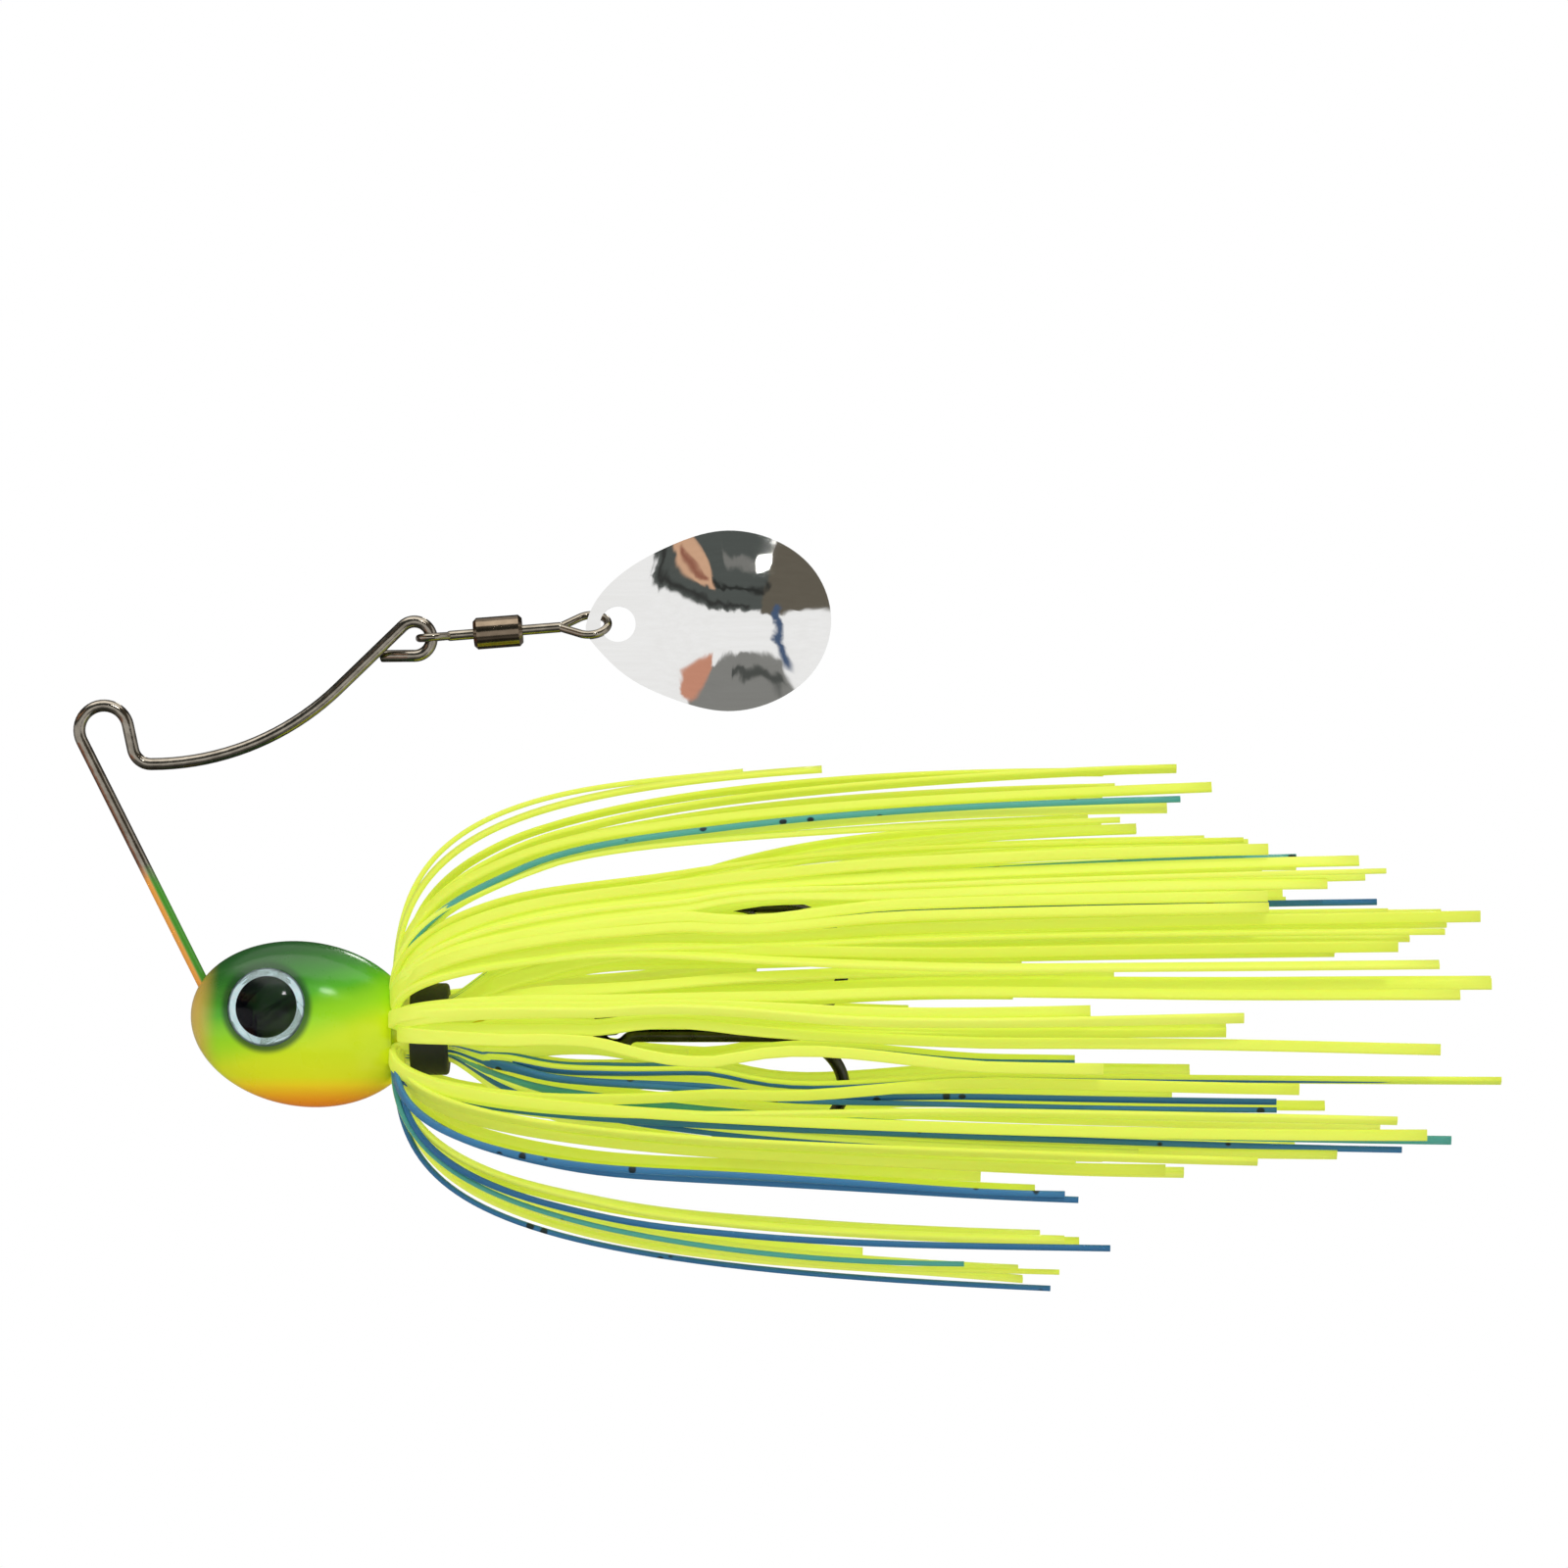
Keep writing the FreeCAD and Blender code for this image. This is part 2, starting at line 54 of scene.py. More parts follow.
# ---- places read from the frame ----------------------------------------------------------
BAND_LO, BAND_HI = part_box("skirt_band")
AXIS_Z = (BAND_LO[2] + BAND_HI[2]) / 2
HEAD_LO, HEAD_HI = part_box("head_casting")
EYE_LO, EYE_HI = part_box("left_eye_foil")
EYE_MIDDLE = (EYE_LO + EYE_HI) / 2
EYE_RADIUS = (EYE_HI[2] - EYE_LO[2]) / 2
LOCK_NODES = sorted(name for name in frame["nodes"] if name.startswith("skirt_lock_"))

# ---- skirt dimensions --------------------------------------------------------------------
STRAND_T = 0.42 * MM
ROOT_WIDTH = 0.85 * MM          # a strand is squeezed under the band,
WEB_WIDTH = 1.42 * MM           # widest where it is still webbed to its neighbour,
TIP_WIDTH = 0.92 * MM           # and single at its end
ROOT_R = 2.45 * MM
RIM_X = BAND_HI[0] + 3.0 * MM   # where the straight halves pass over the casting's rim
RIM_R = 4.45 * MM
HALF_DEPTH = 12.6 * MM          # half width of the skirt from side to side
HALF_HEIGHT = 21.6 * MM
UNDER_RINGS = 6                 # rings of a folded half that lie under the band,
FOLD_TURNS = 6                  # then as many steps round the fold,
FOLD_RINGS = UNDER_RINGS + FOLD_TURNS + 1
SAMPLES = 50                    # and the rings of its free part
FLAT_RINGS = 4                  # rings of a straight half under the band
CLIMB_RINGS = 8                 # rings of a straight half that climb over the casting's rim
THIN_LOW, THIN_HIGH = -30.0, -17.5   # heights, in mm, between which the far strands end early
ON_TOP_FROM = 11 * MM           # farther from the axis the coloured strands lie on top
ON_TOP_DEPTH = 1.25             # outside the yellow strands,
INSIDE_DEPTH = 0.7              # or between them, as shares of the skirt's half depth
FOLD_AHEAD = (0.7, 1.5)         # mm from the band's front edge to the fold
FOLD_R = (0.4, 0.9)             # mm, the fold's radius
FOLDED_RISE = (0.56, 0.68)      # how steeply a half leaves the root,
FOLDED_LEAN = (0.17, 0.24)      # where it levels out, as a share of its length,
FOLDED_CROWN = (0.90, 0.955)    # and at what share of its end's distance from the axis
STRAIGHT_RISE = (0.3, 0.42)
STRAIGHT_SLOPE = 0.78
STRAIGHT_LEAN = (0.2, 0.3)
STRAIGHT_CROWN = (0.9, 0.96)
MIDDLE_REACH = 17.0             # ends less than this many degrees off level fold at the band's
MIDDLE_LIFT, MIDDLE_SQUEEZE = 6.0, 0.8     # middle, a little higher and closer together;
WINDOW_END, WINDOW_CLEAR = 36.0, 44.0      # those up to WINDOW_END fold past the windows
TURN_RATE = 1.7                 # a strand has its end's angle after 1 / 1.7 of its length
WANDER = 0.35                   # mm that a strand strays from its smooth line
MAX_SKEW = 16.0                 # degrees between a strand's two halves at the band
MAX_TWIST = 0.9                 # radians that a strand turns about its own length
STRAND_SHARE = {"yellow": 1.0, "teal": 0.78, "blue": 0.55}   # of the widths above
LOCK_STEP = 30.0                # degrees from one lock of the frame to the next
FIRST_LOCK_ANGLE = 15.0
CORNER_SHARE = 0.36             # a strand's corner radius, of its thickness
SEED = 7

# Strand ends on the side towards the camera: distance behind the line tie and height over
# it, in millimetres, with the colour. The far side gets a shorter, yellow end for each.
FOLDED_ENDS = (
    (58.6, -3.2, "yellow"), (87.4, -3.3, "yellow"), (90.1, -4.7, "yellow"),
    (87.4, -5.6, "teal"), (86.4, -6.3, "yellow"), (82.6, -7.2, "yellow"),
    (92.5, -8.8, "yellow"), (94.4, -9.7, "yellow"), (101.7, -10.6, "yellow"),
    (103.8, -11.4, "yellow"), (99.1, -12.4, "yellow"), (94.3, -13.4, "yellow"),
    (103.2, -13.9, "blue"), (94.3, -14.3, "yellow"), (111.3, -15.0, "yellow"),
    (108.4, -16.2, "yellow"), (104.6, -17.4, "yellow"),
    (107.8, -18.8, "yellow"), (109.5, -21.2, "yellow"), (80.0, -22.3, "yellow"),
    (92.2, -23.1, "yellow"), (108.0, -25.4, "yellow"), (81.0, -26.9, "yellow"),
    (96.7, -28.6, "yellow"), (104.6, -31.3, "yellow"),
    (107.0, -32.4, "yellow"), (105.2, -33.5, "blue"), (93.4, -34.5, "yellow"),
    (86.1, -35.3, "yellow"), (77.9, -36.9, "blue"), (79.0, -37.9, "blue"),
    (78.1, -41.2, "yellow"), (81.7, -42.1, "blue"), (70.0, -43.0, "teal"),
    (77.8, -44.2, "yellow"), (77.1, -45.3, "blue"),
)
# The same strands' other halves, which run straight back from under the band. Their width
# and colour are the folded half's, so a colour here only says how deep the end lies.
STRAIGHT_ENDS = (
    (84.0, -8.0, "yellow"), (93.0, -9.2, "yellow"), (97.0, -10.2, "yellow"),
    (102.5, -11.8, "yellow"), (94.3, -12.9, "yellow"), (96.0, -13.8, "yellow"),
    (108.7, -15.5, "yellow"), (106.0, -16.8, "yellow"), (100.0, -17.9, "yellow"),
    (78.0, -19.4, "yellow"), (112.4, -20.4, "yellow"), (74.0, -21.8, "yellow"),
    (91.0, -24.0, "blue"), (79.0, -26.9, "yellow"), (113.2, -28.3, "yellow"),
    (95.0, -30.2, "yellow"), (109.1, -33.0, "yellow"), (100.0, -33.9, "yellow"),
    (87.8, -35.8, "yellow"), (84.0, -34.2, "teal"),
)

# Where the strands part: station, height, half length, half height and whether only the
# side towards the camera does, in millimetres.
PARTINGS = (
    (56.0, -14.5, 9.0, 0.75, True), (50.0, -24.6, 10.0, 1.0, True),
    (61.0, -27.2, 12.0, 1.2, False), (41.0, -26.6, 8.0, 0.6, False),
    (45.0, -19.5, 10.0, 0.45, False), (48.0, -11.2, 17.0, 0.6, False),
    (60.0, -37.3, 22.0, 0.6, False), (75.0, -21.8, 20.0, 0.45, False),
)
PARTING_REACH = 3.2             # how far over or under a parting a strand is still pushed


def mix(low, high, share):
    return low + (high - low) * share


def pick(rng, span):
    return mix(span[0], span[1], rng.random())


def smooth(share):
    return share * share * (3 - 2 * share)


# ---- strands -----------------------------------------------------------------------------
def bezier(poles, share):
    """Points of a cubic curve at an array of shares between 0 and 1."""
    a, b, c, d = (np.array(pole, float) for pole in poles)
    share = share[:, None]
    rest = 1 - share
    return rest ** 3 * a + 3 * rest ** 2 * share * b + 3 * rest * share ** 2 * c + share ** 3 * d


def polar(end, side, depth_share):
    """The distance from the skirt's axis and the angle round it of a strand's end."""
    up = end[1] * MM - AXIS_Z
    out = math.sqrt(max(0.02, 1 - (up / HALF_HEIGHT) ** 2)) * HALF_DEPTH * depth_share
    return math.hypot(up, out), math.atan2(up, side * out)


def folded_half(radius, end_x, rng):
    """(x, distance from the axis) from the band's middle, round the fold to the strand's end."""
    fold_x = BAND_LO[0] - pick(rng, FOLD_AHEAD) * MM
    fold_r = pick(rng, FOLD_R) * MM
    fold_top = ROOT_R + fold_r
    middle_x = (BAND_LO[0] + BAND_HI[0]) / 2
    under = np.array([(mix(middle_x, fold_x + fold_r, k / UNDER_RINGS), ROOT_R)
                      for k in range(UNDER_RINGS)])
    turn = [math.radians(-90 - 90 * k / FOLD_TURNS) for k in range(FOLD_TURNS)]
    arc = np.array([(fold_x + fold_r + fold_r * math.cos(a), fold_top + fold_r * math.sin(a))
                    for a in turn])
    rise = pick(rng, FOLDED_RISE)
    lean = pick(rng, FOLDED_LEAN)
    crown = pick(rng, FOLDED_CROWN)
    share = np.linspace(0, 1, SAMPLES) ** 1.25
    flare = bezier(((fold_x, fold_top), (fold_x, fold_top + rise * (radius - fold_top)),
                    (fold_x + lean * (end_x - fold_x), crown * radius), (end_x, radius)), share)
    return np.vstack((under, arc, flare))


def straight_half(radius, end_x, rng):
    """(x, distance from the axis) from the band's middle, over the rim to the strand's end."""
    middle_x = (BAND_LO[0] + BAND_HI[0]) / 2
    under = np.array([(mix(middle_x, BAND_HI[0], k / FLAT_RINGS), ROOT_R)
                      for k in range(FLAT_RINGS)])
    climb = bezier(((BAND_HI[0], ROOT_R), (BAND_HI[0] + 0.5 * MM, ROOT_R),
                    (RIM_X - 1 * MM, RIM_R - 0.75 * MM), (RIM_X, RIM_R)),
                   np.linspace(0, 1, CLIMB_RINGS)[:-1])
    rise = pick(rng, STRAIGHT_RISE) * (radius - RIM_R)
    lean = pick(rng, STRAIGHT_LEAN)
    crown = pick(rng, STRAIGHT_CROWN)
    flare = bezier(((RIM_X, RIM_R), (RIM_X + rise / STRAIGHT_SLOPE, RIM_R + rise),
                    (RIM_X + lean * (end_x - RIM_X), crown * radius),
                    (end_x, radius)), np.linspace(0, 1, SAMPLES))
    return np.vstack((under, climb, flare))


def lay_out(profile, start_angle, end_angle, reach, rng):
    """The strand's points in space: the profile carried round the axis, with a slow wander.

    The angle changes as reach goes from 0 at the band to 1 at the strand's end.
    """
    x, radius = profile[:, 0], profile[:, 1]
    angle = start_angle + (end_angle - start_angle) * smooth(np.minimum(1, reach * TURN_RATE))
    wave = rng.uniform(0.0, WANDER) * MM
    phase = rng.uniform(0, 2 * math.pi)
    wander = wave * reach * np.sin(phase + reach * rng.uniform(3, 7))
    radius = radius + wander
    angle = angle + wander / np.maximum(radius, RIM_R)
    return np.stack((x, radius * np.cos(angle), AXIS_Z + radius * np.sin(angle)), axis=1), angle


def part_strand(points):
    """Pushes a strand's points off the middle lines of the partings they come near.

    The push rises over the first third of a parting and dies away over the rest of it.
    """
    for x, z, half_length, half_height, near_only in PARTINGS:
        share = np.clip((points[:, 0] / MM - x) / (2 * half_length) + 0.5, 0, 1)
        along = 1.5 * np.minimum(1, share / 0.35) * (1 - share)
        off = points[:, 2] / MM - z
        way = math.copysign(1, np.dot(along, off))
        push = half_height * smooth(along) * np.clip(1 - np.abs(off) / PARTING_REACH, 0, 1)
        if near_only:
            push = push * np.clip(0.5 - points[:, 1] / (3 * MM), 0, 1)
        points[:, 2] += way * push * MM


def section(width, thickness):
    """A flat oblong with rounded corners, as (across, through) offsets."""
    corner = thickness * CORNER_SHARE
    points = []
    for start, (sx, sy) in ((0, (1, 1)), (90, (-1, 1)), (180, (-1, -1)), (270, (1, -1))):
        for k in range(3):
            a = math.radians(start + 45 * k)
            points.append((sx * (width / 2 - corner) + corner * math.cos(a),
                           sy * (thickness / 2 - corner) + corner * math.sin(a)))
    return points


def ribbon(points, angles, twist, widths):
    """Vertices of a strand's rings and the faces between them, closed at both ends."""
    tangents = np.gradient(points, axis=0)
    tangents /= np.linalg.norm(tangents, axis=1)[:, None]
    around = np.stack((np.zeros(len(angles)), -np.sin(angles), np.cos(angles)), axis=1)
    around -= tangents * np.sum(around * tangents, axis=1)[:, None]
    around /= np.linalg.norm(around, axis=1)[:, None]
    outward = np.cross(tangents, around)
    across = around * np.cos(twist)[:, None] + outward * np.sin(twist)[:, None]
    through = np.cross(tangents, across)
    rings = []
    for k, width in enumerate(widths):
        offsets = section(width, STRAND_T)
        rings.append([points[k] + across[k] * a + through[k] * b for a, b in offsets])
    count = len(rings[0])
    vertices = [vertex for ring in rings for vertex in ring]
    faces = []
    for k in range(len(rings) - 1):
        for j in range(count):
            low, high = k * count, (k + 1) * count
            nxt = (j + 1) % count
            faces.append((low + j, low + nxt, high + nxt, high + j))
    faces.append(tuple(reversed(range(count))))
    last = (len(rings) - 1) * count
    faces.append(tuple(last + j for j in range(count)))
    return vertices, faces


def root_angle(end_angle):
    """Where a strand folds over the band: clear of the windows beside the middle ones."""
    off = math.degrees(math.asin(math.sin(end_angle)))
    if abs(off) < MIDDLE_REACH:
        off = MIDDLE_LIFT + MIDDLE_SQUEEZE * off
    elif abs(off) < WINDOW_END:
        share = (abs(off) - MIDDLE_REACH) / (WINDOW_END - MIDDLE_REACH)
        off = math.copysign(mix(WINDOW_END, WINDOW_CLEAR, share), off)
    off = math.radians(off)
    return off if math.cos(end_angle) > 0 else math.pi - off


def strand(folded, straight, rng):
    """One strand: from the straight half's end, under the band, to the folded half's end."""
    root = root_angle(folded["angle"])
    skew = math.radians(rng.uniform(-MAX_SKEW, MAX_SKEW))
    end = folded["angle"] + turns_between(root, folded["angle"])
    line = folded_half(folded["radius"], folded["x"], rng)
    start = np.full(len(line), root)
    start[:FOLD_RINGS] += skew * smooth(np.linspace(1, 0, FOLD_RINGS))
    front, front_angles = lay_out(line, start, end, reach_behind(line, BAND_HI[0]), rng)
    end = straight["angle"] + turns_between(root, straight["angle"])
    line = straight_half(straight["radius"], straight["x"], rng)
    back, back_angles = lay_out(line, root + skew, end, reach_behind(line, BAND_LO[0]) ** 0.3, rng)
    part_strand(front)
    part_strand(back)
    points = np.vstack((back[::-1], front[1:]))
    angles = np.concatenate((back_angles[::-1], front_angles[1:]))
    station = np.abs(np.arange(len(points)) - len(back)) / SAMPLES
    twist = rng.uniform(-MAX_TWIST, MAX_TWIST) * smooth(np.minimum(1, station))
    widths = np.interp(station, (0, 0.12, 0.3, 0.8, 1.3),
                       (ROOT_WIDTH, ROOT_WIDTH, WEB_WIDTH, TIP_WIDTH, TIP_WIDTH))
    return ribbon(points, angles, twist, widths * STRAND_SHARE[folded["colour"]])


def reach_behind(line, start_x):
    """The share of the way from a station to the strand's end, at each of its points."""
    return np.clip((line[:, 0] - start_x) / (line[-1, 0] - start_x), 0, 1)


def turns_between(root, angle):
    """The full turn to add to an angle to bring it within half a turn of the root's."""
    return 2 * math.pi * round((root - angle) / (2 * math.pi))


def tails(ends, depth_low, depth_high, rng):
    """Every strand end on both sides, in order of its angle round the skirt."""
    result = []
    for side in (-1, 1):
        for x, z, colour in ends:
            if side > 0:
                thin = THIN_LOW < z < THIN_HIGH
                x = x - (rng.uniform(22, 34) if thin else rng.uniform(1, 9))
                z = z + rng.uniform(-0.3, 0.3)
                colour = "yellow"
            share = rng.uniform(depth_low, depth_high)
            if colour != "yellow":
                share = ON_TOP_DEPTH if abs(z * MM - AXIS_Z) > ON_TOP_FROM else INSIDE_DEPTH
            radius, angle = polar((x, z), side, share)
            result.append({"x": x * MM, "radius": radius, "angle": angle % (2 * math.pi),
                           "colour": colour})
    return sorted(result, key=lambda tail: tail["angle"])


def build_skirt():
    """One mesh for each lock of the frame, made of the strands that leave the band there."""
    rng = random.Random(SEED)
    folded = tails(FOLDED_ENDS, 0.86, 1.0, rng)
    straight = tails(STRAIGHT_ENDS, 0.45, 0.8, rng)
    materials = {name: silicone(name) for name in SILICONE}
    order = list(materials)
    locks = {name: {"vertices": [], "faces": [], "slots": [], "tints": []} for name in LOCK_NODES}
    for number, tail in enumerate(folded):
        mate = straight[int(number * len(straight) / len(folded))]
        root = math.degrees(root_angle(tail["angle"]))
        lock = round((root - FIRST_LOCK_ANGLE) / LOCK_STEP) % len(LOCK_NODES)
        store = locks[LOCK_NODES[lock]]
        vertices, faces = strand(tail, mate, rng)
        base = len(store["vertices"])
        store["vertices"] += [tuple(vertex) for vertex in vertices]
        store["faces"] += [tuple(base + corner for corner in face) for face in faces]
        store["slots"] += [order.index(tail["colour"])] * len(faces)
        store["tints"] += [rng.random()] * len(vertices)
    for name, store in locks.items():
        mesh = bpy.data.meshes.new(name.replace("lock", "strands"))
        mesh.from_pydata(store["vertices"], [], store["faces"])
        for material in materials.values():
            mesh.materials.append(material)
        mesh.polygons.foreach_set("material_index", store["slots"])
        mesh.polygons.foreach_set("use_smooth", [True] * len(store["faces"]))
        tint = mesh.attributes.new("tint", "FLOAT", "POINT")
        tint.data.foreach_set("value", store["tints"])
        mesh.update()
        piece = bpy.data.objects.new(mesh.name, mesh)
        bpy.context.collection.objects.link(piece)
        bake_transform(piece)
        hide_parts(name)


# ---- materials ---------------------------------------------------------------------------
def srgb(red, green, blue):
    """A display colour, 0 to 255, as the linear colour that shaders take."""
    def linear(value):
        value /= 255
        return value / 12.92 if value <= 0.04045 else ((value + 0.055) / 1.055) ** 2.4
    return (linear(red), linear(green), linear(blue), 1.0)


class Graph:
    """Short calls for building a node tree."""

    def __init__(self, tree):
        self.tree = tree

    def add(self, kind, **settings):
        node = self.tree.nodes.new(kind)
        for key, value in settings.items():
            setattr(node, key, value)
        return node

    def link(self, output, target):
        self.tree.links.new(output, target)

    def value(self, operation, first, second=0.0, third=0.0):
        node = self.add("ShaderNodeMath", operation=operation)
        for socket, given in zip(node.inputs, (first, second, third)):
            if isinstance(given, (int, float)):
                socket.default_value = given
            else:
                self.link(given, socket)
        return node.outputs[0]

    def between(self, value, low, high):
        """0 at the low value, 1 at the high one, smooth between them."""
        node = self.add("ShaderNodeMapRange", interpolation_type="SMOOTHSTEP")
        self.link(value, node.inputs["Value"])
        node.inputs["From Min"].default_value = low
        node.inputs["From Max"].default_value = high
        return node.outputs["Result"]

    def blend(self, share, first, second):
        node = self.add("ShaderNodeMix", data_type="RGBA")
        self.give(node.inputs["Factor"], share)
        self.give(node.inputs[6], first)
        self.give(node.inputs[7], second)
        return node.outputs[2]

    def give(self, socket, given):
        if hasattr(given, "links"):
            self.link(given, socket)
        else:
            socket.default_value = given


class Nodes(Graph):
    """One material: its node tree and its shader."""

    def __init__(self, name):
        self.material = bpy.data.materials.new(name)
        self.material.use_nodes = True
        super().__init__(self.material.node_tree)
        self.shader = self.tree.nodes["Principled BSDF"]

    def set(self, **values):
        for name, value in values.items():
            self.shader.inputs[name.replace("_", " ")].default_value = value

    def position(self):
        return self.add("ShaderNodeTexCoord").outputs["Object"]

    def noise(self, scale, detail=3.0, stretch=(1, 1, 1)):
        mapping = self.add("ShaderNodeMapping")
        mapping.inputs["Scale"].default_value = stretch
        self.link(self.position(), mapping.inputs["Vector"])
        node = self.add("ShaderNodeTexNoise")
        node.inputs["Scale"].default_value = scale
        node.inputs["Detail"].default_value = detail
        self.link(mapping.outputs["Vector"], node.inputs["Vector"])
        return node.outputs["Fac"]

    def axis(self, name):
        split = self.add("ShaderNodeSeparateXYZ")
        self.link(self.position(), split.inputs[0])
        return split.outputs[name]

    def ramp(self, value, stops):
        node = self.add("ShaderNodeValToRGB")
        self.link(value, node.inputs["Fac"])
        elements = node.color_ramp.elements
        while len(elements) < len(stops):
            elements.new(0.5)
        for element, (place, colour) in zip(elements, stops):
            element.position = place
            element.color = colour
        return node.outputs["Color"]

    def bump(self, height, distance, strength=1.0):
        node = self.add("ShaderNodeBump")
        node.inputs["Distance"].default_value = distance
        node.inputs["Strength"].default_value = strength
        self.link(height, node.inputs["Height"])
        self.link(node.outputs["Normal"], self.shader.inputs["Normal"])

    def colour(self, output):
        self.link(output, self.shader.inputs["Base Color"])

    def roughness(self, value, low, high):
        node = self.add("ShaderNodeMapRange")
        self.link(value, node.inputs["Value"])
        node.inputs["To Min"].default_value = low
        node.inputs["To Max"].default_value = high
        self.link(node.outputs["Result"], self.shader.inputs["Roughness"])


SILICONE = {
    "yellow": (srgb(206, 220, 62), srgb(222, 233, 98)),
    "blue": (srgb(38, 98, 142), srgb(66, 130, 172)),
    "teal": (srgb(48, 134, 128), srgb(88, 172, 152)),
}


def silicone(name):
    """Soft, faintly translucent silicone; the blue ones carry dark flecks. It also glows faintly
    in its own colour, painted light that fills in the shade between the strands.
    """
    dark, light = SILICONE[name]
    nodes = Nodes(f"silicone_{name}")
    tint = nodes.add("ShaderNodeAttribute", attribute_name="tint").outputs["Fac"]
    streaks = nodes.noise(900, 2.0, (0.08, 1, 1))
    share = nodes.value("ADD", nodes.value("MULTIPLY", tint, 0.6),
                        nodes.value("MULTIPLY", streaks, 0.5))
    colour = nodes.blend(share, dark, light)
    if name != "yellow":
        cells = nodes.add("ShaderNodeTexVoronoi")
        cells.inputs["Scale"].default_value = 420
        nodes.link(nodes.position(), cells.inputs["Vector"])
        fleck = nodes.between(cells.outputs["Distance"], 0.17, 0.11)
        colour = nodes.blend(fleck, colour, srgb(24, 40, 44))
    nodes.colour(colour)
    # Painted light: every strand glows in its own colour, the yellow ones most, so the shade
    # between and under the strands stays light.
    nodes.link(colour, nodes.shader.inputs["Emission Color"])
    nodes.set(Emission_Strength=0.27 if name == "yellow" else 0.08, Specular_IOR_Level=0.35,
              Subsurface_Weight=0.25, Subsurface_Scale=0.0006)
    nodes.roughness(streaks, 0.34, 0.5)
    nodes.bump(streaks, 0.00004)
    return nodes.material


def head_paint():
    """Green back, yellow sides and orange belly under a clear coat, with painted shade round the
    eyes where they sit in their sockets.
    """
    nodes = Nodes("head_paint_gloss")
    height = nodes.axis("Z")
    drift = nodes.value("MULTIPLY", nodes.noise(160, 3.0), 1.2 * MM)
    along = nodes.axis("X")
    lean = nodes.value("MULTIPLY", nodes.value("SUBTRACT", along, EYE_MIDDLE[0]), -0.28)
    back_height = nodes.value("ADD", nodes.value("ADD", height, drift), lean)
    belly = nodes.ramp(nodes.between(height, HEAD_LO[2] - 0.2 * MM, HEAD_LO[2] + 5.5 * MM), (
        (0.0, srgb(255, 140, 8)), (0.14, srgb(255, 184, 12)), (0.32, srgb(252, 222, 20)),
        (0.5, srgb(232, 236, 22)), (1.0, srgb(214, 236, 22))))
    back = nodes.ramp(nodes.between(back_height, AXIS_Z, HEAD_HI[2] + 0.4 * MM), (
        (0.0, srgb(160, 224, 26)), (0.3, srgb(84, 178, 28)), (0.62, srgb(58, 138, 34)),
        (1.0, srgb(34, 90, 34))))
    side = nodes.between(back_height, AXIS_Z - 1.9 * MM, AXIS_Z + 0.9 * MM)
    colour = nodes.blend(side, belly, back)
    nose = nodes.between(along, HEAD_LO[0] + 2.6 * MM, HEAD_LO[0] + 0.4 * MM)
    colour = nodes.blend(nodes.value("MULTIPLY", nose, 0.8), colour, srgb(233, 184, 84))
    rim = nodes.ramp(nodes.between(height, AXIS_Z - 3.2 * MM, AXIS_Z - 1.2 * MM),
                     ((0.0, srgb(250, 160, 34)), (1.0, srgb(244, 222, 44))))
    colour = nodes.blend(nodes.between(along, BAND_LO[0] - 1.6 * MM, BAND_LO[0] - 0.6 * MM),
                         colour, rim)
    # Painted shade: the paint turns deep green in a ring round each eye, standing in for the shade
    # in the eye's recess.
    dx = nodes.value("SUBTRACT", along, EYE_MIDDLE[0])
    dz = nodes.value("SUBTRACT", height, EYE_MIDDLE[2])
    square = nodes.value("ADD", nodes.value("MULTIPLY", dx, dx), nodes.value("MULTIPLY", dz, dz))
    distance = nodes.value("SQRT", square)
    socket = nodes.between(distance, EYE_RADIUS + 0.8 * MM, EYE_RADIUS + 0.2 * MM)
    colour = nodes.blend(nodes.value("MULTIPLY", socket, 0.85), colour, srgb(28, 72, 28))
    nodes.colour(colour)
    nodes.set(Coat_Weight=0.3, Coat_Roughness=0.12, Specular_IOR_Level=0.25)
    nodes.roughness(nodes.noise(500, 4.0), 0.22, 0.36)
    nodes.bump(nodes.noise(420, 2.0), 0.00005)
    return nodes.material


def frame_wire_metal():
    """Drawn spring wire with fine lines, painted where it leaves the head."""
    nodes = Nodes("spring_wire")
    lines = nodes.noise(1400, 3.0)
    metal = nodes.blend(lines, srgb(98, 91, 80), srgb(182, 174, 160))
    top = HEAD_HI[2]
    height = nodes.value("ADD", nodes.axis("Z"), nodes.value("MULTIPLY", nodes.noise(700), 3 * MM))
    painted = nodes.between(height, top + 8.5 * MM, top + 5.5 * MM)
    leg = nodes.value("ADD", nodes.axis("X"), nodes.value("MULTIPLY", nodes.axis("Z"), 0.5))
    front = nodes.between(leg, -2.15 * MM, -2.4 * MM)
    paint = nodes.blend(front, srgb(74, 150, 42), srgb(240, 164, 70))
    nodes.colour(nodes.blend(painted, metal, paint))
    nodes.link(nodes.value("SUBTRACT", 1.0, painted), nodes.shader.inputs["Metallic"])
    nodes.roughness(lines, 0.1, 0.2)
    nodes.bump(lines, 0.00002)
    return nodes.material


def plated(name, dark, light, low, high, scale=900):
    """A plated metal with slight cloudiness and handling marks."""
    nodes = Nodes(name)
    marks = nodes.noise(scale, 5.0)
    nodes.colour(nodes.blend(marks, dark, light))
    nodes.set(Metallic=1.0)
    nodes.roughness(marks, low, high)
    nodes.bump(marks, 0.000015)
    return nodes.material


def blade_plate():
    """Polished plate: bright, with hair-fine scratches and a faint ripple from pressing."""
    nodes = Nodes("blade_polish")
    scratches = nodes.noise(2600, 2.0, (0.05, 1, 1))
    nodes.colour(nodes.blend(scratches, srgb(234, 233, 230), srgb(244, 244, 242)))
    nodes.set(Metallic=1.0)
    nodes.roughness(scratches, 0.03, 0.06)
    nodes.bump(nodes.noise(240, 1.0), 0.00006)
    return nodes.material


